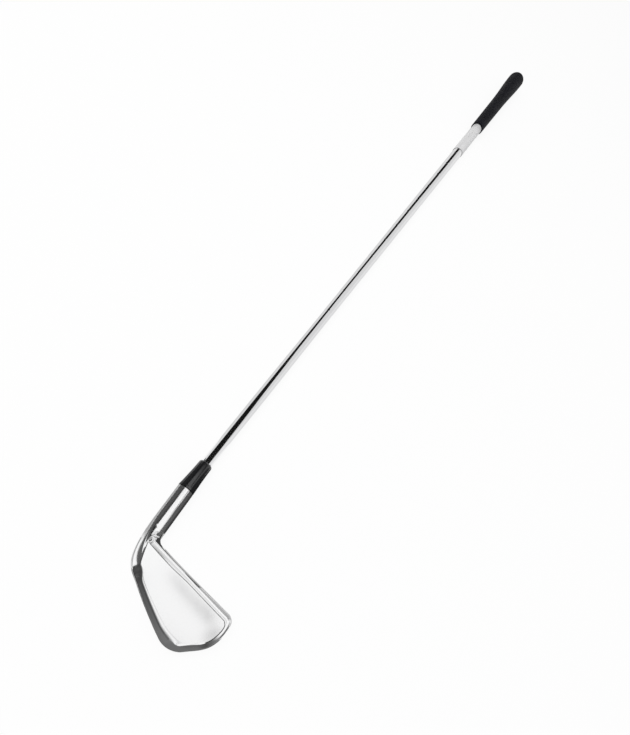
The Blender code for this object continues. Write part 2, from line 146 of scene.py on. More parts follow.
def rounded_path(corners, radii, arc_steps):
    """Open path through straight runs joined by arcs."""
    pts = [np.array(corners[0], float)]
    for prev, here, nxt, r in zip(corners, corners[1:], corners[2:], radii):
        here = np.array(here, float)
        a = unit(np.array(prev) - here)
        b = unit(np.array(nxt) - here)
        half = 0.5 * math.acos(float(np.clip(a @ b, -1, 1)))
        run = r / math.tan(half)
        centre = here + unit(a + b) * r / math.sin(half)
        p, q = here + a * run - centre, here + b * run - centre
        for i in range(arc_steps + 1):
            f = i / arc_steps
            sweep = math.acos(float(np.clip(p @ q, -r * r, r * r)) / (r * r))
            w0 = math.sin((1 - f) * sweep) / math.sin(sweep)
            w1 = math.sin(f * sweep) / math.sin(sweep)
            pts.append(centre + w0 * p + w1 * q)
    pts.append(np.array(corners[-1], float))
    return np.array(pts)


def blade_path():
    """Crotch, top line, toe and sole, as one dense path on the face."""
    corners = [CROTCH, TOE_TOP, TOE_WIDEST, TOE_BOTTOM, (HEEL_X, 0.0)]
    path = rounded_path(corners, TOE_RADII, 60)
    dense = []
    for p, q in zip(path, path[1:]):
        n = max(1, int(np.linalg.norm(q - p) / 0.25))
        dense += [p + (q - p) * i / n for i in range(n)]
    dense = np.array(dense + [path[-1]])
    lift = np.clip(1.0 - dense[:, 1] / 52.0, 0.0, 1.0) * (dense[:, 0] - 36.0) ** 2 / (2 * SOLE_RISE)
    dense[:, 1] += lift
    return dense


def even_samples(path, n, turn_weight=30.0):
    """n + 1 points of a path, closer together where it turns."""
    step = np.diff(path, axis=0)
    length = np.linalg.norm(step, axis=1)
    heading = np.unwrap(np.arctan2(step[:, 1], step[:, 0]))
    turn = np.abs(np.diff(heading, append=heading[-1]))
    turn = np.convolve(turn, np.ones(9) / 9, mode="same")
    cost = np.concatenate([[0.0], np.cumsum(length + turn_weight * turn)])
    want = np.linspace(0.0, cost[-1], n + 1)
    return np.stack([np.interp(want, cost, path[:, k]) for k in (0, 1)], axis=1)


def blade_outline(rows, cols):
    """Points along the top line, round the toe end and back along the sole."""
    path = blade_path()
    beyond = path[:, 0] > TOE_TOP[0] - 3.0
    split_top = next(i for i in range(len(path)) if beyond[i] and path[i, 1] < 0.97 * TOE_TOP[1])
    split_low = max(i for i in range(len(path)) if beyond[i] and path[i, 1] > 0.41 * TOE_WIDEST[1])
    top = even_samples(path[:split_top + 1], rows - 1)
    end = even_samples(path[split_top:split_low + 1], cols + 1)
    low = even_samples(path[split_low:], rows - 1)
    pts = np.concatenate([top, end[1:-1], low])
    near = [np.argmin(np.linalg.norm(path - p, axis=1)) for p in pts]
    inward = []
    for i in near:
        along = path[min(i + 3, len(path) - 1)] - path[max(i - 3, 0)]
        inward.append(unit((along[1], -along[0])))
    return pts, np.array(inward)


# Profile across the rim of the blade

def panel_depth(x, v):
    """How far the back panel lies behind the face."""
    (v0, t0), (v1, t1) = PANEL_FOOT, PANEL_HEAD
    return t0 + (t1 - t0) * (v - v0) / (v1 - v0) + PANEL_FLARE * (x - TOE_WIDEST[0])


def rim_width(up, x):
    """Width of the rim between the outline and the back panel."""
    top = np.interp(x, (0.0, 14.0, 28.0, 54.0, 66.0), RIM_TOP)
    low = RIM_SOLE + 2.3 * (1.0 - smooth((x - HEEL_X) / 9.0)) + 1.2 * smooth((x - 46.0) / 14.0)
    return np.interp(up, (-0.92, -0.5, -0.1, 0.25, 0.6, 0.95), (top, *RIM_TOE, low))


def rim_profile(place, way, arc_steps):
    """(inward, behind the face) points from the face, over the rim, to the back panel.
    The inward way runs down the face from the top line and up it from the sole."""
    x, up = place[0], way[1]
    sole = max(0.0, up)
    body = smooth((up + 0.6) / 1.6)
    lean = math.atan(sole * math.tan(LOFT))
    r1 = FACE_EDGE_R + (SOLE_CORNER_R - FACE_EDGE_R) * sole ** 2
    width = rim_width(up, x)
    start, stop = math.pi / 2 - lean, math.radians(np.interp(up, BEVEL_UP, BEVEL_TURN))
    top_r = HEEL_TOP_R + (TOP_R - HEEL_TOP_R) * smooth((x - 20.0) / 40.0)
    r2 = min(top_r + (TRAIL_R - top_r) * body, (width - 0.8) / (1.0 - math.sin(stop + lean)))

    # foot of the rim on the panel, and the crest above it
    slope = panel_depth(*way) - panel_depth(0.0, 0.0)
    depth = panel_depth(*(place + way * width / math.cos(lean))) / (1.0 - slope * math.tan(lean))
    foot = np.array([width / math.cos(lean) + depth * math.tan(lean), depth])
    crest = foot + np.array([-0.6 - 0.2 * body, LIP - (LIP + 0.1) * body])

    wall = np.array([math.sin(lean), math.cos(lean)])
    outward = np.array([-math.cos(lean), math.sin(lean)])
    bevel = np.array([-math.sin(stop), math.cos(stop)])
    run = (crest @ bevel + r2 * (outward @ bevel - 1.0)) / (wall @ bevel)
    bulge = 0.12 + 0.2 * sole
    tangent = r1 * math.tan(0.5 * (math.pi / 2 + lean))
    pts = []
    for i in range(arc_steps + 1):
        a = math.radians(270) + (math.radians(-90) - lean) * i / arc_steps
        pts.append((tangent + r1 * math.cos(a), r1 + r1 * math.sin(a)))
    for i in range(1, arc_steps):
        f = i / arc_steps
        pts.append(tuple(wall * (tangent + (run - tangent) * f) + outward * bulge * 4 * f * (1 - f)))
    centre = wall * run - outward * r2
    for i in range(arc_steps + 1):
        a = start + (stop - start) * i / arc_steps
        pts.append((centre[0] - r2 * math.sin(a), centre[1] + r2 * math.cos(a)))
    return pts + [tuple(crest), tuple(foot)]


def patch(heel, toe, top, low, rows, cols):
    """Grid of points stretched between four edges."""
    grid = np.zeros((rows, cols, 3))
    for j in range(rows):
        f = j / (rows - 1)
        for c in range(cols):
            g = c / (cols - 1)
            corner = ((1 - f) * (1 - g) * top[0] + (1 - f) * g * low[0]
                      + f * (1 - g) * top[-1] + f * g * low[-1])
            grid[j, c] = ((1 - f) * heel[c] + f * toe[c] + (1 - g) * top[j] + g * low[j] - corner)
    return grid


def hermite(p0, m0, p1, m1, u):
    return ((2 * u ** 3 - 3 * u ** 2 + 1) * p0 + (u ** 3 - 2 * u ** 2 + u) * m0
            + (3 * u ** 2 - 2 * u ** 3) * p1 + (u ** 3 - u ** 2) * m1)


def hosel_point(phi, s, r):
    """Point round the shaft axis: phi 0 faces the toe, 90 degrees the back."""
    return AXIS * s + r * (math.cos(phi) * ACROSS + math.sin(phi) * BACK)


def head_shape(rows, cols, arc_steps, neck_steps):
    """Vertices and faces of the one-piece clubhead, with its hosel bore."""
    flat, inward = blade_outline(rows, cols)
    n = len(flat)
    profiles = [rim_profile(flat[i], inward[i], arc_steps) for i in range(n)]
    rings = len(profiles[0])
    verts, faces = [], []

    def add(p):
        verts.append(p)
        return len(verts) - 1

    def rim(i, k):
        d, t = profiles[i][k]
        slide = 0.0
        if inward[i][1] < 0:
            slide = CORNER_SLIDE * (1.0 - smooth((flat[i][0] + 1.0) / 15.0)) * (k / (rings - 1)) ** 2
        x = flat[i][0] + inward[i][0] * d + inward[i][1] * slide
        v = flat[i][1] + inward[i][1] * d - inward[i][0] * slide
        t += panel_depth(x, v) - panel_depth(x - inward[i][1] * slide, v + inward[i][0] * slide)
        return np.array([x, v, t])

    rim_id = [[add(face_point(*rim(i, k))) for k in range(rings)] for i in range(n)]
    for i in range(n - 1):
        for k in range(rings - 1):
            faces.append((rim_id[i][k], rim_id[i][k + 1], rim_id[i + 1][k + 1], rim_id[i + 1][k]))

    # back panel
    last = rings - 1
    top = [rim(j, last) for j in range(rows)]
    low = [rim(n - 1 - j, last) for j in range(rows)]
    toe = [rim(rows - 1 + c, last) for c in range(cols + 2)]
    heel = []
    for c in range(cols + 2):
        g = c / (cols + 1)
        p = top[0] + (low[0] - top[0]) * g
        x, v = p[:2] - HEEL_BEND * math.sin(math.pi * g)
        heel.append(np.array([x, v, panel_depth(x, v)]))
    grid = patch(heel, toe, top, low, rows, cols + 2)
    ids = np.zeros((rows, cols + 2), int)
    for j in range(rows):
        for c in range(cols + 2):
            if c == 0:
                ids[j, c] = rim_id[j][last]
            elif c == cols + 1:
                ids[j, c] = rim_id[n - 1 - j][last]
            elif j == rows - 1:
                ids[j, c] = rim_id[rows - 1 + c][last]
            else:
                ids[j, c] = add(face_point(*grid[j, c]))
    for j in range(rows - 1):
        for c in range(cols + 1):
            faces.append((ids[j, c], ids[j, c + 1], ids[j + 1, c + 1], ids[j + 1, c]))

    # face, flat, with its heel edge
    front = []
    for c in range(cols, 0, -1):
        g = c / (cols + 1)
        p = rim(0, 0) + (rim(n - 1, 0) - rim(0, 0)) * g
        p = p + np.array([-2.0, 0.0, 0.0]) * math.sin(math.pi * g)
        front.append(add(face_point(*p)))
    faces.append(tuple([rim_id[i][0] for i in range(n)] + front))

    # neck, from the heel edge of the blade to the hosel
    loop = ([rim_id[0][k] for k in range(rings)] + [int(ids[0, c]) for c in range(1, cols + 1)]
            + [rim_id[n - 1][k] for k in range(rings - 1, -1, -1)] + front)
    marks = (rings, cols, rings, cols)
    spans = ((-32.0, 84.0), (84.0, 140.0), (140.0, 240.0), (240.0, 328.0))
    phis, part = [], []
    for which, (count, (a, b)) in enumerate(zip(marks, spans)):
        for i in range(count):
            if which in (0, 2):
                phis.append(math.radians(a + (b - a) * i / (count - 1)))
            else:
                phis.append(math.radians(a + (b - a) * (i + 1) / (count + 1)))
            part.append((which, i / (count - 1)))
    top_way = -unit(np.array([TOE_TOP[0] - CROTCH[0], TOE_TOP[1] - CROTCH[1]]))
    top_way = face_point(top_way[0], top_way[1], 0.0) - face_point(0.0, 0.0, 0.0)
    low_way = np.array([-1.0, 0.0, 0.0])
    off = -(face_point(0.0, 0.0, 0.0) - face_point(0.0, 0.0, 1.0))
    columns = []
    for vid, phi, (which, f) in zip(loop, phis, part):
        low_share = 0.5 - 0.5 * math.cos(phi)
        behind = max(0.0, math.sin(phi)) ** 2
        s1 = NECK_FOOT + 14.0 * low_share - 8.0 * behind
        lean = NECK_SET / (HOSEL_TOP - NECK_FOOT)
        p0 = verts[vid]
        p1 = hosel_point(phi, s1, HOSEL_R) + ACROSS * lean * (HOSEL_TOP - s1)
        way = unit(top_way * (1 - low_share) + low_way * low_share)
        reach = (8.5 + 31.5 * low_share) * (1.0 - 0.5 * behind)
        lift = 0.0
        if which == 1:
            lift = 0.4
        elif which == 0:
            lift = 0.4 * smooth((f - 0.75) / 0.25)
        elif which == 2:
            lift = 0.4 * smooth((0.25 - f) / 0.25)
        m0 = reach * (way + lift * (1 - 0.6 * low_share) * off)
        m1 = (AXIS - ACROSS * lean) * (8.0 + 46.0 * low_share) * (1.0 - 0.5 * behind)
        column = [vid]
        for k in range(1, neck_steps + 1):
            u = k / neck_steps
            column.append(add(hermite(p0, m0, p1, m1, u)))
        column.append(add(hosel_point(phi, HOSEL_TOP - HOSEL_EDGE, HOSEL_R)))
        column.append(add(hosel_point(phi, HOSEL_TOP, HOSEL_R - HOSEL_EDGE)))
        column.append(add(hosel_point(phi, HOSEL_TOP, BORE_R)))
        column.append(add(hosel_point(phi, HOSEL_TOP - BORE_DEPTH, BORE_R)))
        columns.append(column)
    m = len(columns)
    for i in range(m):
        a, b = columns[i], columns[(i + 1) % m]
        for k in range(len(a) - 1):
            faces.append((a[k], a[k + 1], b[k + 1], b[k]))
    faces.append(tuple(col[-1] for col in columns))
    return np.array(verts), faces


# The way the club lies, taken from the coarse head and the frame's own box

def lying_frame(head_points):
    blade = head_points[head_points[:, 0] > 20.0]
    neck = head_points[head_points[:, 0] < 0.0]
    ring = np.array([hosel_point(a, BUTT - CAP_LEN - 2.0, GRIP_BUTT_R)
                     for a in np.linspace(0, math.tau, 353)])
    down = np.array([0.0, 1.0, 0.0])
    for _ in range(12):
        a, b, c = (g[np.argmax(g @ down)] for g in (blade, neck, ring))
        new = unit(np.cross(b - a, c - a))
        down = new if new @ down > 0 else -new
    z = -down
    x = unit(AXIS - (AXIS @ z) * z)
    y = np.cross(z, x)
    return np.array([x, y, z])


COARSE, _ = head_shape(24, 8, 4, 8)
TURN = lying_frame(COARSE)
LAID = COARSE @ TURN.T * MM
HEAD_LOW = np.array(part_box("clubhead")[0])
SHIFT = HEAD_LOW - LAID.min(axis=0)


def placed(points):
    """Address-position millimetres to the frame."""
    return np.asarray(points) @ TURN.T * MM + SHIFT


# Meshes

def shade(bm, sharp_over=math.radians(32)):
    """Smooth shading with crisp edges where the surface turns sharply."""
    for f in bm.faces:
        f.smooth = True
    for e in bm.edges:
        e.smooth = len(e.link_faces) != 2 or e.calc_face_angle(0.0) < sharp_over


def finish_mesh(name, bm):
    mesh = bpy.data.meshes.new(name)
    bm.to_mesh(mesh)
    bm.free()
    ob = bpy.data.objects.new(name, mesh)
    bpy.context.scene.collection.objects.link(ob)
    return ob


def head_mesh():
    """The one-piece head: a loft between unlike sections, drawn as rows of faces."""
    verts, faces = head_shape(72, 20, 9, 26)
    pts = placed(verts)
    bm = bmesh.new()
    made = [bm.verts.new(p) for p in pts]
    for f in faces:
        bm.faces.new([made[i] for i in f])
    bmesh.ops.recalc_face_normals(bm, faces=bm.faces)
    return finish_mesh("head_forging", bm)


def score_cutter():
    bm = bmesh.new()
    slope = (TOE_TOP[1] - CROTCH[1]) / (TOE_TOP[0] - CROTCH[0])
    for i in range(GROOVES):
        v = FIRST_GROOVE + GROOVE_PITCH * i
        left = max(GROOVE_HEEL, CROTCH[0] + (v + 5.5 - CROTCH[1]) / slope)
        made = bmesh.ops.create_cube(bm, size=1.0)["verts"]
        for p in made:
            x = left if p.co.x < 0 else GROOVE_TOE
            deep = GROOVE_DEPTH if p.co.z > 0 else -1.0
            half = GROOVE_WIDTH * (0.35 if p.co.z > 0 else 0.5 + 0.15 / GROOVE_DEPTH)
            p.co = Vector(placed(face_point(x, v + (half if p.co.y > 0 else -half), deep)))
    bmesh.ops.recalc_face_normals(bm, faces=bm.faces)
    return finish_mesh("score_cutter", bm)


def cut_scores(head):
    cutter = score_cutter()
    cut = head.modifiers.new("Scores", "BOOLEAN")
    cut.operation = "DIFFERENCE"
    cut.solver = "EXACT"
    cut.object = cutter
    graph = bpy.context.evaluated_depsgraph_get()
    done = bpy.data.meshes.new_from_object(head.evaluated_get(graph))
    head.modifiers.clear()
    head.data = done
    bpy.data.objects.remove(cutter)
    bm = bmesh.new()
    bm.from_mesh(done)
    shade(bm, math.radians(24))
    bm.to_mesh(done)
    bm.free()


def turned(name, profile, segments, closed=True):
    """Solid of revolution round the shaft axis, with u round it and v along it in metres."""
    bm = bmesh.new()
    made = [bm.verts.new((r * MM, 0.0, s * MM)) for r, s in profile]
    edges = [bm.edges.new((a, b)) for a, b in zip(made, made[1:])]
    if closed:
        edges.append(bm.edges.new((made[-1], made[0])))
    bmesh.ops.spin(bm, geom=made + edges, cent=(0, 0, 0), axis=(0, 0, 1), dvec=(0, 0, 0),
                   angle=math.tau, steps=segments, use_merge=True)
    bmesh.ops.remove_doubles(bm, verts=bm.verts, dist=1e-7)
    bmesh.ops.recalc_face_normals(bm, faces=bm.faces)
    uv = bm.loops.layers.uv.new("UVMap")
    for f in bm.faces:
        mid = f.calc_center_median()
        base = math.atan2(mid.y, mid.x)
        for loop in f.loops:
            a = math.atan2(loop.vert.co.y, loop.vert.co.x)
            if a - base > math.pi:
                a -= math.tau
            if base - a > math.pi:
                a += math.tau
            loop[uv].uv = (a / math.tau + 0.5, loop.vert.co.z)
    shade(bm)
    for p in bm.verts:
        p.co = Vector(placed(np.array(p.co[:]) @ np.array([ACROSS, -BACK, AXIS]) / MM))
    return finish_mesh(name, bm)


def arc(cx, cy, r, a0, a1, n):
    return [(cx + r * math.cos(math.radians(a0 + (a1 - a0) * i / n)),
             cy + r * math.sin(math.radians(a0 + (a1 - a0) * i / n))) for i in range(n + 1)]


def ferrule_mesh():
    bore = TIP_R + CLEAR
    corner = 0.7
    drop = 1.6
    shoulder = FERRULE_TO - drop
    top = arc(FERRULE_TOP_R - corner, shoulder, corner, 78, 4, 8)
    top = [(r, shoulder + (s - shoulder) * drop / corner) for r, s in top]
    side = []
    for i in range(1, 13):
        f = i / 12
        side.append((FERRULE_TOP_R + (HOSEL_R - 0.02 - FERRULE_TOP_R) * f ** 1.5,
                     shoulder + (FERRULE_FROM + 0.4 - shoulder) * f))
    foot = [(HOSEL_R - 0.1, FERRULE_FROM + 0.1), (HOSEL_R - 0.3, FERRULE_FROM)]
    inside = [(bore, FERRULE_FROM), (bore, FERRULE_TO - 0.5)]
    return turned("ferrule_turned", inside + top + side + foot, 96)


def shaft_profile():
    first = FERRULE_TO + FIRST_STEP
    rise = (UPPER_R - LOWER_R) / STEPS
    widens = FERRULE_TO + 1.0
    pts = [(TIP_R - 0.4, SHAFT_FROM), (TIP_R, SHAFT_FROM + 0.8), (TIP_R, widens)]
    for i in range(1, 15):
        pts.append((TIP_R + (LOWER_R - TIP_R) * smooth(i / 14), widens + TIP_TAPER * i / 14))
    for i in range(STEPS):
        at = first + STEP_PITCH * i
        r = LOWER_R + rise * i
        for k in range(7):
            f = k / 6
            pts.append((r + rise * smooth(f), at + STEP_RISE * f))
    pts.append((UPPER_R, SHAFT_TO))
    inside = [(TIP_R - WALL, SHAFT_FROM), (TIP_R - WALL, widens), (LOWER_R - WALL, widens + TIP_TAPER),
              (LOWER_R - WALL, first), (UPPER_R - WALL, first + STEPS * STEP_PITCH),
              (UPPER_R - WALL, SHAFT_TO)]
    return inside + pts[::-1]


def weight_mesh():
    r = TIP_R - WALL - CLEAR
    edge = 0.5
    low = SHAFT_FROM + 1.0
    high = low + WEIGHT_LEN
    upper = [(0.0, high), (r - edge, high)] + arc(r - edge, high - edge, edge, 80, 0, 4)
    lower = arc(r - edge, low + edge, edge, 0, -80, 4) + [(r - edge, low), (0.0, low)]
    return turned("tip_plug", upper + lower, 48, closed=False)


def sleeve_mesh(name, inner, low, high):
    outer = inner + SKIN
    edge = 0.05
    profile = [(inner, low), (inner, high), (outer - edge, high), (outer, high - 0.1),
               (outer, low + 0.1), (outer - edge, low)]
    return turned(name, profile, 96)


def grip_radius(f):
    return GRIP_MOUTH_R + GRIP_TAPER * f + GRIP_FLARE * smooth((f - 0.5) / 0.47)


def grip_mesh():
    bore = UPPER_R + SKIN_CLEAR + SKIN + SKIN_CLEAR
    top = BUTT - CAP_LEN - CLEAR
    outside = [(GRIP_MOUTH_R - 0.8, MOUTH)] + arc(GRIP_MOUTH_R - 0.6, MOUTH + 0.8, 0.6, -80, 0, 5)[1:]
    rings = (MOUTH + 5.0, MOUTH + 7.5, BUTT - 14.0)
    ring_depth = 0.28
    s = MOUTH + 2.0
    while s < top - 0.6:
        f = (s - MOUTH - 1.0) / (top - 3.0 - MOUTH)
        r = grip_radius(min(f, 1.0))
        for ring in rings:
            r -= ring_depth * smooth(1.0 - abs(s - ring) / 0.7)
        outside.append((r, s))
        near = any(abs(s - ring) < 1.2 for ring in rings)
        s += 0.15 if near else 2.0
    outside += [(GRIP_BUTT_R, top - 0.5), (GRIP_BUTT_R - 0.1, top - 0.12), (GRIP_BUTT_R - 0.3, top)]
    return turned("grip_rubber", [(bore, MOUTH), (bore, top)] + outside[::-1], 128)


def cap_mesh():
    low = BUTT - CAP_LEN
    spigot = UPPER_R - 0.2
    outside = [(GRIP_BUTT_R - 0.3, low), (GRIP_BUTT_R - 0.08, low + 0.12)]
    for i in range(19):
        a = math.radians(90 * i / 18)
        outside.append((GRIP_BUTT_R - CAP_CORNER + CAP_CORNER * math.cos(a),
                        low + 0.3 + (CAP_LEN - 0.3) * math.sin(a)))
    vent = [(VENT_R + 0.35, BUTT), (VENT_R + 0.1, BUTT - 0.1), (VENT_R, BUTT - 0.35)]
    profile = outside + vent + [(VENT_R, low - SPIGOT_LEN), (spigot - 0.4, low - SPIGOT_LEN),
                                (spigot, low - SPIGOT_LEN + 0.4), (spigot, low)]
    return turned("butt_cap_rubber", profile, 128)


# Finishes

class Finish:
    """A procedural material with short helpers for its nodes."""

    def __init__(self, name, colour, metallic, roughness, **extra):
        self.mat = bpy.data.materials.new(name)
        self.mat.use_nodes = True
        self.tree = self.mat.node_tree
        self.shader = self.tree.nodes["Principled BSDF"]
        self.set("Base Color", (*colour, 1.0))
        self.set("Metallic", metallic)
        self.set("Roughness", roughness)
        for key, value in extra.items():
            self.set(key, value)
        self.coords = self.node("ShaderNodeTexCoord")

    def set(self, socket, value):
        self.shader.inputs[socket.replace("_", " ")].default_value = value

    def node(self, kind, **props):
        made = self.tree.nodes.new(kind)
        for key, value in props.items():
            setattr(made, key, value)
        return made

    def link(self, a, b):
        self.tree.links.new(a, b)

    def feed(self, socket, source):
        self.link(source, self.shader.inputs[socket])

    def math(self, op, a, b=None):
        m = self.node("ShaderNodeMath", operation=op)
        for i, value in enumerate((a, b)):
            if value is None:
                continue
            if isinstance(value, (int, float)):
                m.inputs[i].default_value = value
            else:
                self.link(value, m.inputs[i])
        return m.outputs[0]

    def noise(self, scale, detail=3.0, rough=0.5, stretch=None):
        n = self.node("ShaderNodeTexNoise")
        n.inputs["Scale"].default_value = scale
        n.inputs["Detail"].default_value = detail
        n.inputs["Roughness"].default_value = rough
        source = self.coords.outputs["Object"]
        if stretch:
            m = self.node("ShaderNodeMapping")
            m.inputs["Scale"].default_value = stretch
            self.link(source, m.inputs["Vector"])
            source = m.outputs["Vector"]
        self.link(source, n.inputs["Vector"])
        return n.outputs["Fac"]

    def span(self, fac, low, high, from_low=0.0, from_high=1.0):
        r = self.node("ShaderNodeMapRange")
        r.inputs["From Min"].default_value = from_low
        r.inputs["From Max"].default_value = from_high
        r.inputs["To Min"].default_value = low
        r.inputs["To Max"].default_value = high
        self.link(fac, r.inputs["Value"])
        return r.outputs["Result"]

    def blend(self, fac, a, b):
        m = self.node("ShaderNodeMix", data_type="RGBA")
        self.link(fac, m.inputs["Factor"])
        m.inputs["A"].default_value = (*a, 1.0)
        m.inputs["B"].default_value = (*b, 1.0)
        return m.outputs["Result"]

    def vary(self, noise, low, high):
        """Value from low to high over the range that most of a noise lies in."""
        return self.span(noise, low, high, 0.3, 0.7)

    def cloudy(self, noise, a, b):
        """Colour that wanders from a to b with a noise."""
        return self.blend(self.vary(noise, 0.0, 1.0), a, b)

    def bump(self, height, distance, strength=1.0):
        b = self.node("ShaderNodeBump")
        b.inputs["Distance"].default_value = distance
        b.inputs["Strength"].default_value = strength
        self.link(height, b.inputs["Height"])
        self.feed("Normal", b.outputs["Normal"])

    def address(self):
        """Coordinates in the address position, metres."""
        m = self.node("ShaderNodeMapping")
        m.inputs["Rotation"].default_value = Matrix(TURN.T.tolist()).to_euler("XYZ")
        m.inputs["Location"].default_value = tuple(-TURN.T @ SHIFT)
        self.link(self.coords.outputs["Object"], m.inputs["Vector"])
        s = self.node("ShaderNodeSeparateXYZ")
        self.link(m.outputs["Vector"], s.inputs["Vector"])
        return s.outputs


def head_finish():
    """Polished chrome with a faint hand-polished waviness; the hitting area is blasted."""
    m = Finish("polished_chrome", (0.93, 0.93, 0.94), 1.0, 0.12)
    x, y, z = m.address()
    toe = m.math("GREATER_THAN", (GROOVE_TOE + 0.2) * MM, x)
    heel = m.math("GREATER_THAN", x, (GROOVE_HEEL - 0.4) * MM)
    ahead = m.math("MULTIPLY", m.math("SUBTRACT", FACE_Y * MM, y), math.cos(LOFT))
    behind = m.math("SUBTRACT", ahead, m.math("MULTIPLY", z, math.sin(LOFT)))
    front = m.math("LESS_THAN", behind, 0.6 * MM)
    hitting = m.math("MULTIPLY", m.math("MULTIPLY", toe, heel), front)
    grain = m.noise(3200.0, 4.0, 0.6)
    cloud = m.noise(60.0, 3.0)
    polished = m.vary(cloud, 0.12, 0.17)
    blasted = m.vary(grain, 0.34, 0.5)
    rough = m.node("ShaderNodeMix", data_type="FLOAT")
    m.link(hitting, rough.inputs["Factor"])
    m.link(polished, rough.inputs["A"])
    m.link(blasted, rough.inputs["B"])
    m.feed("Roughness", rough.outputs["Result"])
    m.feed("Base Color", m.cloudy(cloud, (0.92, 0.92, 0.925), (0.955, 0.955, 0.955)))
    fine = m.noise(900.0, 2.0, 0.5, stretch=(1.0, 0.12, 1.0))
    ripple = m.math("MULTIPLY", fine, 0.06)
    blast = m.math("MULTIPLY", grain, hitting)
    m.bump(m.math("ADD", ripple, blast), 0.00005, 0.5)
    return m.mat


def ferrule_finish():
    m = Finish("ferrule_gloss", (0.012, 0.012, 0.013), 0.0, 0.24, Specular_IOR_Level=1.0)
    uv = m.node("ShaderNodeUVMap", uv_map="UVMap")
    s = m.node("ShaderNodeSeparateXYZ")
    m.link(uv.outputs["UV"], s.inputs["Vector"])
    lathe = m.math("SINE", m.math("MULTIPLY", s.outputs["Y"], 9000.0))
    cloud = m.noise(350.0, 4.0)
    m.feed("Roughness", m.vary(cloud, 0.15, 0.19))
    m.feed("Base Color", m.blend(cloud, (0.006, 0.006, 0.007), (0.011, 0.011, 0.012)))
    m.bump(m.math("ADD", m.math("MULTIPLY", lathe, 0.12), cloud), 0.00001, 0.2)
    return m.mat


def shaft_finish():
    m = Finish("shaft_chrome", (0.88, 0.88, 0.89), 1.0, 0.06)
    cloud = m.noise(40.0, 3.0)
    specks = m.noise(1500.0, 2.0, 0.6)
    m.feed("Roughness", m.vary(cloud, 0.045, 0.085))
    m.feed("Base Color", m.cloudy(cloud, (0.87, 0.87, 0.88), (0.90, 0.90, 0.905)))
    m.bump(specks, 0.00001, 0.15)
    return m.mat


def band_finish():
    m = Finish("band_film", (0.62, 0.63, 0.64), 0.0, 0.34)
    cloud = m.noise(120.0, 4.0)
    fibre = m.noise(2500.0, 3.0, 0.6)
    m.feed("Base Color", m.cloudy(cloud, (0.67, 0.67, 0.675), (0.73, 0.73, 0.735)))
    m.feed("Roughness", m.vary(fibre, 0.28, 0.42))
    m.bump(m.math("ADD", fibre, m.math("MULTIPLY", cloud, 2.0)), 0.00001, 0.1)
    return m.mat


def grip_finish():
    """Matt rubber, moulded with two crossing sets of fine grooves between plain bands; its colour is painted
    darker down in the grooves, as painted shade.
    """
    m = Finish("grip_rubber", (0.016, 0.017, 0.019), 0.0, 0.62, Specular_IOR_Level=0.06)
    uv = m.node("ShaderNodeUVMap", uv_map="UVMap")
    s = m.node("ShaderNodeSeparateXYZ")
    m.link(uv.outputs["UV"], s.inputs["Vector"])
    u, v = s.outputs["X"], s.outputs["Y"]
    turns = m.math("MULTIPLY", u, 22.0)
    climb = m.math("MULTIPLY", v, 300.0)
    grooves = []
    for sign in (1.0, -1.0):
        way = m.math("ADD", turns, m.math("MULTIPLY", climb, sign))
        fold = m.math("PINGPONG", way, 0.5)
        grooves.append(m.span(fold, 0.0, 1.0, 0.06, 0.17))
    both = m.math("MINIMUM", grooves[0], grooves[1])
    from_mouth = m.math("SUBTRACT", v, MOUTH * MM)
    wave = m.math("PINGPONG", m.math("SUBTRACT", from_mouth, 0.012), 0.029)
    plain = m.span(wave, 1.0, 0.0, 0.0015, 0.0025)
    collar = m.span(from_mouth, 1.0, 0.0, 0.0118, 0.0122)
    height = m.math("MAXIMUM", both, m.math("MAXIMUM", plain, collar))
    dust = m.noise(2600.0, 4.0, 0.65)
    cloud = m.noise(45.0, 3.0)
    # painted shade: the colour is darkest down in the grooves, where height is low; the cloud on the raised
    # rubber is its own uneven tone
    m.feed("Base Color", m.blend(m.math("MULTIPLY", height, m.vary(cloud, 0.5, 1.0)),
                                 (0.003, 0.003, 0.0045), (0.0085, 0.0085, 0.013)))
    m.feed("Roughness", m.vary(dust, 0.52, 0.72))
    m.bump(m.math("ADD", height, m.math("MULTIPLY", dust, 0.12)), 0.00035, 0.7)
    return m.mat


def cap_finish():
    m = Finish("cap_rubber", (0.016, 0.017, 0.019), 0.0, 0.6, Specular_IOR_Level=0.08)
    dust = m.noise(2600.0, 4.0, 0.65)
    cloud = m.noise(90.0, 3.0)
    m.feed("Base Color", m.cloudy(cloud, (0.006, 0.006, 0.009), (0.010, 0.010, 0.014)))
    m.feed("Roughness", m.vary(dust, 0.48, 0.7))
    m.bump(dust, 0.00006, 0.5)
    return m.mat


def brass_finish():
    m = Finish("cast_brass", (0.72, 0.50, 0.20), 1.0, 0.3)
    cloud = m.noise(300.0, 4.0)
    m.feed("Base Color", m.cloudy(cloud, (0.62, 0.43, 0.17), (0.78, 0.56, 0.25)))
    m.feed("Roughness", m.vary(cloud, 0.24, 0.45))
    m.bump(cloud, 0.00004, 0.4)
    return m.mat


def tape_finish():
    m = Finish("tape_paper", (0.76, 0.71, 0.58), 0.0, 0.85)
    crepe = m.noise(900.0, 4.0, 0.6, stretch=(1.0, 4.0, 4.0))
    m.feed("Base Color", m.cloudy(crepe, (0.68, 0.63, 0.50), (0.80, 0.76, 0.64)))
    m.bump(crepe, 0.00008, 0.6)
    return m.mat


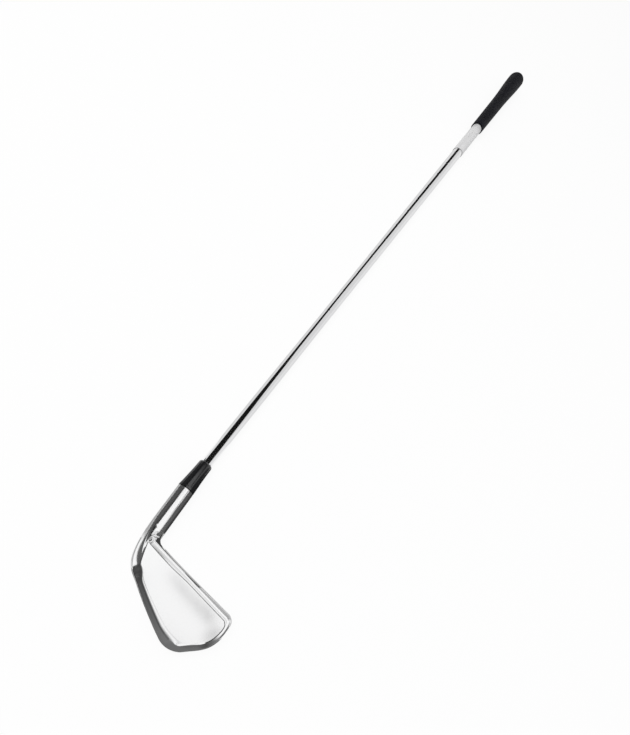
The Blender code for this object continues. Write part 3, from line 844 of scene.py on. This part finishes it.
def dress():
    head = head_mesh()
    cut_scores(head)
    pieces = [
        (head, "clubhead", "head_chrome", head_finish()),
        (ferrule_mesh(), "ferrule", "ferrule_plastic", ferrule_finish()),
        (turned("shaft_tube", shaft_profile(), 96), "shaft", "shaft_chrome", shaft_finish()),
        (weight_mesh(), "tip_weight", "brass", brass_finish()),
        (sleeve_mesh("band_sleeve", UPPER_R + CLEAR, BAND_TO - BAND_LEN, BAND_TO),
         "shaft_band", "band_film", band_finish()),
        (sleeve_mesh("tape_sleeve", UPPER_R + SKIN_CLEAR, TAPE_FROM, SHAFT_TO),
         "grip_tape", "tape_paper", tape_finish()),
        (grip_mesh(), "grip_sleeve", "grip_rubber", grip_finish()),
        (cap_mesh(), "butt_cap", "cap_rubber", cap_finish()),
    ]
    for ob, node, slot, mat in pieces:
        ob.data.materials.clear()
        ob.data.materials.append(mat)
        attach(ob, "root")
        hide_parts(node)


# Stage

def seen_white(mat_tree, plain, white_share):
    """Shows the camera and the gloss a share of plain white instead of the lit surface."""
    path = mat_tree.nodes.new("ShaderNodeLightPath")
    seen = mat_tree.nodes.new("ShaderNodeMath")
    seen.operation = "MAXIMUM"
    mat_tree.links.new(path.outputs["Is Camera Ray"], seen.inputs[0])
    mat_tree.links.new(path.outputs["Is Glossy Ray"], seen.inputs[1])
    more = mat_tree.nodes.new("ShaderNodeMath")
    more.operation = "MAXIMUM"
    mat_tree.links.new(seen.outputs[0], more.inputs[0])
    mat_tree.links.new(path.outputs["Is Transmission Ray"], more.inputs[1])
    share = mat_tree.nodes.new("ShaderNodeMath")
    share.operation = "MULTIPLY"
    share.inputs[1].default_value = white_share
    mat_tree.links.new(more.outputs[0], share.inputs[0])
    white = mat_tree.nodes.new("ShaderNodeBackground" if plain.bl_idname == "ShaderNodeBackground"
                               else "ShaderNodeEmission")
    white.inputs["Color"].default_value = (1.0, 1.0, 1.0, 1.0)
    white.inputs["Strength"].default_value = 1.0
    mix = mat_tree.nodes.new("ShaderNodeMixShader")
    mat_tree.links.new(share.outputs[0], mix.inputs["Fac"])
    mat_tree.links.new(plain.outputs[0], mix.inputs[1])
    mat_tree.links.new(white.outputs[0], mix.inputs[2])
    return mix


def lay_floor():
    bm = bmesh.new()
    bmesh.ops.create_grid(bm, x_segments=1, y_segments=1, size=6.0)
    floor = finish_mesh("floor", bm)
    mat = bpy.data.materials.new("floor_white")
    mat.use_nodes = True
    tree = mat.node_tree
    out = tree.nodes["Material Output"]
    tree.nodes.remove(tree.nodes["Principled BSDF"])
    cloth = tree.nodes.new("ShaderNodeBsdfDiffuse")
    cloth.inputs["Color"].default_value = (0.9, 0.9, 0.9, 1.0)
    mix = seen_white(tree, cloth, 0.9)
    tree.links.new(mix.outputs[0], out.inputs["Surface"])
    floor.data.materials.append(mat)


def light_world():
    world = bpy.data.worlds.new("studio")
    bpy.context.scene.world = world
    world.use_nodes = True
    tree = world.node_tree
    plain = tree.nodes["Background"]
    plain.inputs["Color"].default_value = (1.0, 1.0, 1.0, 1.0)
    plain.inputs["Strength"].default_value = 0.55
    mix = seen_white(tree, plain, 1.0)
    tree.links.new(mix.outputs[0], tree.nodes["World Output"].inputs["Surface"])


def soft_lamp(name, place, aim, size, power):
    lamp = bpy.data.lights.new(name, "AREA")
    lamp.shape = "SQUARE"
    lamp.size = size
    lamp.energy = power
    ob = bpy.data.objects.new(name, lamp)
    ob.location = place
    ob.rotation_euler = (Vector(aim) - Vector(place)).to_track_quat("-Z", "Y").to_euler()
    ob.visible_glossy = False
    bpy.context.scene.collection.objects.link(ob)


def board(name, corners, grey, end_grey=None, melt=(0.0, 0.0, 0.0, 0.0)):
    """A studio board that only shows in reflections, from its corners.

    A board of four corners (start and end of its foot, end and start of its head) can run to a second
    grey at its end, and melt away over a share of its width at the start, end, foot and head."""
    bm = bmesh.new()
    face = bm.faces.new([bm.verts.new(c) for c in corners])
    if len(corners) == 4:
        uv = bm.loops.layers.uv.new("UVMap")
        for loop, at in zip(face.loops, ((0, 0), (1, 0), (1, 1), (0, 1))):
            loop[uv].uv = at
    ob = finish_mesh(name, bm)
    mat = bpy.data.materials.new(name)
    mat.use_nodes = True
    tree = mat.node_tree
    tree.nodes.remove(tree.nodes["Principled BSDF"])
    out = tree.nodes["Material Output"].inputs["Surface"]
    glow = tree.nodes.new("ShaderNodeEmission")
    glow.inputs["Color"].default_value = (grey, grey, grey, 1.0)
    last = glow.outputs[0]
    if end_grey is not None or max(melt) > 0:
        across = tree.nodes.new("ShaderNodeUVMap")
        across.uv_map = "UVMap"
        split = tree.nodes.new("ShaderNodeSeparateXYZ")
        tree.links.new(across.outputs["UV"], split.inputs[0])
    if end_grey is not None:
        run = tree.nodes.new("ShaderNodeMix")
        run.data_type = "RGBA"
        run.inputs["A"].default_value = (grey, grey, grey, 1.0)
        run.inputs["B"].default_value = (end_grey, end_grey, end_grey, 1.0)
        tree.links.new(split.outputs["X"], run.inputs["Factor"])
        tree.links.new(run.outputs["Result"], glow.inputs["Color"])
    share = None
    for side, part in zip(("start", "end", "foot", "head"), melt):
        if part <= 0:
            continue
        ramp = tree.nodes.new("ShaderNodeMapRange")
        ramp.interpolation_type = "SMOOTHSTEP"
        near, far = (0.0, part) if side in ("start", "foot") else (1.0, 1.0 - part)
        ramp.inputs["From Min"].default_value = near
        ramp.inputs["From Max"].default_value = far
        tree.links.new(split.outputs["X" if side in ("start", "end") else "Y"], ramp.inputs["Value"])
        if share is None:
            share = ramp.outputs["Result"]
        else:
            both = tree.nodes.new("ShaderNodeMath")
            both.operation = "MULTIPLY"
            tree.links.new(share, both.inputs[0])
            tree.links.new(ramp.outputs["Result"], both.inputs[1])
            share = both.outputs[0]
    if share is not None:
        mix = tree.nodes.new("ShaderNodeMixShader")
        tree.links.new(share, mix.inputs["Fac"])
        tree.links.new(tree.nodes.new("ShaderNodeBsdfTransparent").outputs[0], mix.inputs[1])
        tree.links.new(last, mix.inputs[2])
        last = mix.outputs[0]
    tree.links.new(last, out)
    ob.data.materials.append(mat)
    ob.visible_camera = False
    ob.visible_diffuse = False
    ob.visible_shadow = False
    ob.visible_transmission = False


def upright(name, a, b, low, high, grey, end_grey=None, melt=(0.0, 0.0, 0.0, 0.0)):
    """Board standing from a to b; low and high are heights, or pairs of them for the two ends."""
    lows = low if isinstance(low, tuple) else (low, low)
    highs = high if isinstance(high, tuple) else (high, high)
    board(name, [(*a, lows[0]), (*b, lows[1]), (*b, highs[1]), (*a, highs[0])], grey, end_grey, melt)


def flat_board(name, outline, grey, end_grey=None, melt=(0.0, 0.0, 0.0, 0.0), high=0.0006):
    """Level board; on the floor, or hung at a height."""
    board(name, [(x, y, high) for x, y in outline], grey, end_grey, melt)


def set_boards():
    """Boards for the chrome to reflect, placed by comparing renders with the photograph's view.

    One stands 17 mm from the head and the others 47 mm or more. Those over the club hang 87 mm or more
    from it. Those named floor_ lie beside it, and one of them reaches the head."""
    over_shaft = ((-0.16, -0.72), (-0.21, -0.40), (-0.21, 0.40), (-0.16, 1.40), (0.40, 1.60),
                  (1.20, 1.60), (1.90, 1.20), (2.60, 0.90), (2.60, 0.05), (1.30, 0.06), (0.90, 0.17),
                  (0.49, 0.30), (0.235, 0.20), (0.06, -0.12), (-0.05, -0.60))
    flat_board("board_over_shaft", over_shaft, 0.008, high=0.75)
    flat_board("board_grey_over", ((-0.10, -1.7), (-0.10, 1.9), (3.0, 1.9), (3.0, -1.7)), 0.74,
               melt=(0.15, 0.15, 0.0, 0.1), high=0.82)
    upright("board_far_left", (-0.20, 1.5), (2.3, 1.0), 0.0, 1.1, 0.78, melt=(0.1, 0.1, 0, 0.5))
    upright("board_far_right", (-0.20, -1.5), (2.3, -1.0), 0.0, 1.1, 0.85, melt=(0.1, 0.1, 0, 0.5))
    flat_board("floor_left", [(-0.366, 0.046), (0.35, 0.046), (1.2, 1.0), (-0.366, 1.4)], 0.72)
    flat_board("floor_right", [(-0.366, 0.027), (0.35, 0.027), (1.2, -1.0), (-0.366, -1.4)], 0.80)
    # left of the hosel
    upright("board_left_low", (-0.49, 0.12), (-0.366, 0.12), 0.004, 0.095, 0.12, 0.05)
    upright("board_left_mid", (-0.545, 0.12), (-0.49, 0.12), (0.023, 0.004), 0.095, 0.10, 0.12)
    upright("board_left_heel", (-0.62, 0.12), (-0.545, 0.12), (0.034, 0.023), 0.095, 0.08, 0.10)
    upright("board_left_high", (-0.62, 0.12), (-0.366, 0.12), 0.095, 0.28, 0.055)
    upright("board_left_far", (-0.62, 0.03), (-0.62, 0.12), (0.030, 0.0335), 0.085, 0.08, melt=(0, 0, 0, 0.3))
    flat_board("floor_by_hosel", [(-0.470, 0.050), (-0.395, 0.050), (-0.395, 0.12), (-0.470, 0.12)], 0.42,
               melt=(0.15, 0, 0, 0.1))
    flat_board("floor_by_heel",
               [(-0.4665, 0.0495), (-0.4665, 0.0640), (-0.4975, 0.0430), (-0.4950, 0.0360)], 0.42)
    # right of the hosel
    upright("board_right", (-0.4525, -0.020), (-0.378, -0.020), 0.0, 0.060, 0.115, 0.05, melt=(0, 0, 0, 0.15))
    flat_board("floor_right_of_hosel",
               [(-0.4585, 0.0262), (-0.4525, 0.0200), (-0.4525, -0.020), (-0.392, -0.020),
                (-0.392, 0.0290), (-0.455, 0.0290)], 0.045)
    # over the neck and the ferrule
    flat_board("board_over_neck",
               [(-0.430, -0.085), (-0.355, -0.045), (-0.355, 0.015), (-0.430, 0.015)], 1.0, high=0.15)
    flat_board("board_over_ferrule",
               [(-0.387, -0.007), (-0.387, 0.074), (-0.3685, 0.074), (-0.3685, -0.007)], 1.0,
               melt=(0.15, 0.15, 0.0, 0.1), high=0.10)
    flat_board("board_over_crotch",
               [(-0.545, 0.018), (-0.545, 0.042), (-0.516, 0.042), (-0.516, 0.018)], 0.13,
               melt=(0.2, 0.2, 0.2, 0.2), high=0.15)
    # behind the sole and the toe
    sole = ((-0.5205, 0.0655), (-0.565, -0.005), (-0.574, -0.045), (-0.550, -0.090), (-0.512, -0.113),
            (-0.478, -0.121), (-0.448, -0.114))
    low_greys = ((0.045, 0.17), (0.17, 0.22), (0.22, 0.07), (0.07, 0.28), (0.22, 0.18), (0.5, 0.6))
    high_greys = ((0.05, 0.09), (0.14, 0.09), (0.07, 0.07), (0.07, 0.25), (0.10, 0.20), (0.5, 0.6))
    heads = (0.055, 0.075, 0.110, 0.110, 0.100, 0.110, 0.090)
    for i in range(6):
        upright("board_low_%d" % i, sole[i], sole[i + 1], 0.0, 0.024, *low_greys[i])
        upright("board_high_%d" % i, sole[i], sole[i + 1], 0.0239, (heads[i], heads[i + 1]), *high_greys[i],
                melt=(0, 0, 0, 0.6))
    behind = ((-0.5230, 0.0670), (-0.568, -0.005), (-0.577, -0.045), (-0.553, -0.092))
    tops = ((0.10, 0.15), (0.15, 0.17), (0.17, 0.17))
    top_greys = ((0.26, 0.34), (0.34, 0.16), (0.16, 0.16))
    for i in range(3):
        upright("board_top_%d" % i, behind[i], behind[i + 1], 0.024, tops[i], *top_greys[i],
                melt=(0, 0, 0, 0.4))
    flat_board("floor_by_sole",
               [(-0.492, 0.034), (-0.506, -0.003), (-0.565, -0.005), (-0.5205, 0.0655)], 0.05, 0.16)
    flat_board("floor_by_toe",
               [(-0.506, -0.003), (-0.565, -0.005), (-0.574, -0.045), (-0.550, -0.090), (-0.512, -0.113),
                (-0.484, -0.050), (-0.503, -0.036)], 0.16)
    # beyond the top line
    upright("board_by_top_line", (-0.415, -0.022), (-0.415, -0.12), 0.0, 0.12, 0.42, melt=(0, 0.1, 0, 0.4))
    flat_board("floor_by_top_line",
               [(-0.4605, 0.0200), (-0.4525, 0.0185), (-0.430, -0.09), (-0.478, -0.09)], 0.50)
    # high above the blade, for the soft greys of its back
    flat_board("board_over_panel",
               [(-0.505, 0.012), (-0.517, -0.062), (-0.500, -0.062), (-0.489, 0.012)], 0.80, 0.50,
               melt=(0.3, 0.1, 0.5, 0.5), high=0.15)
    flat_board("board_over_toe",
               [(-0.506, -0.073), (-0.534, -0.067), (-0.526, -0.053), (-0.509, -0.060)], 0.40,
               melt=(0.3, 0.4, 0.4, 0.5), high=0.15)
    flat_board("board_over_blade", [(-0.88, -0.30), (-0.88, 0.18), (-0.745, 0.18), (-0.745, -0.30)], 0.70,
               melt=(0.2, 0.2, 0.4, 0.4), high=1.0)


def set_camera():
    """The photograph's view, fitted by the club's outline."""
    cam = bpy.data.cameras.new("camera")
    cam.sensor_fit = "VERTICAL"
    cam.sensor_height = 24.0
    cam.lens = 16.0184
    cam.shift_x = 0.00042
    cam.shift_y = 0.00853
    cam.clip_start = 0.01
    ob = bpy.data.objects.new("camera", cam)
    ob.location = (-0.52088, 0.02225, 0.39563)
    ob.rotation_euler = [math.radians(a) for a in (26.992, -20.953, -57.773)]
    bpy.context.scene.collection.objects.link(ob)
    bpy.context.scene.camera = ob


dress()
lay_floor()
light_world()
soft_lamp("lamp_high", (-0.4, 0.5, 2.0), (-0.1, 0.0, 0.0), 1.6, 24.0)
set_boards()
set_camera()

bpy.context.scene.view_settings.view_transform = "Standard"
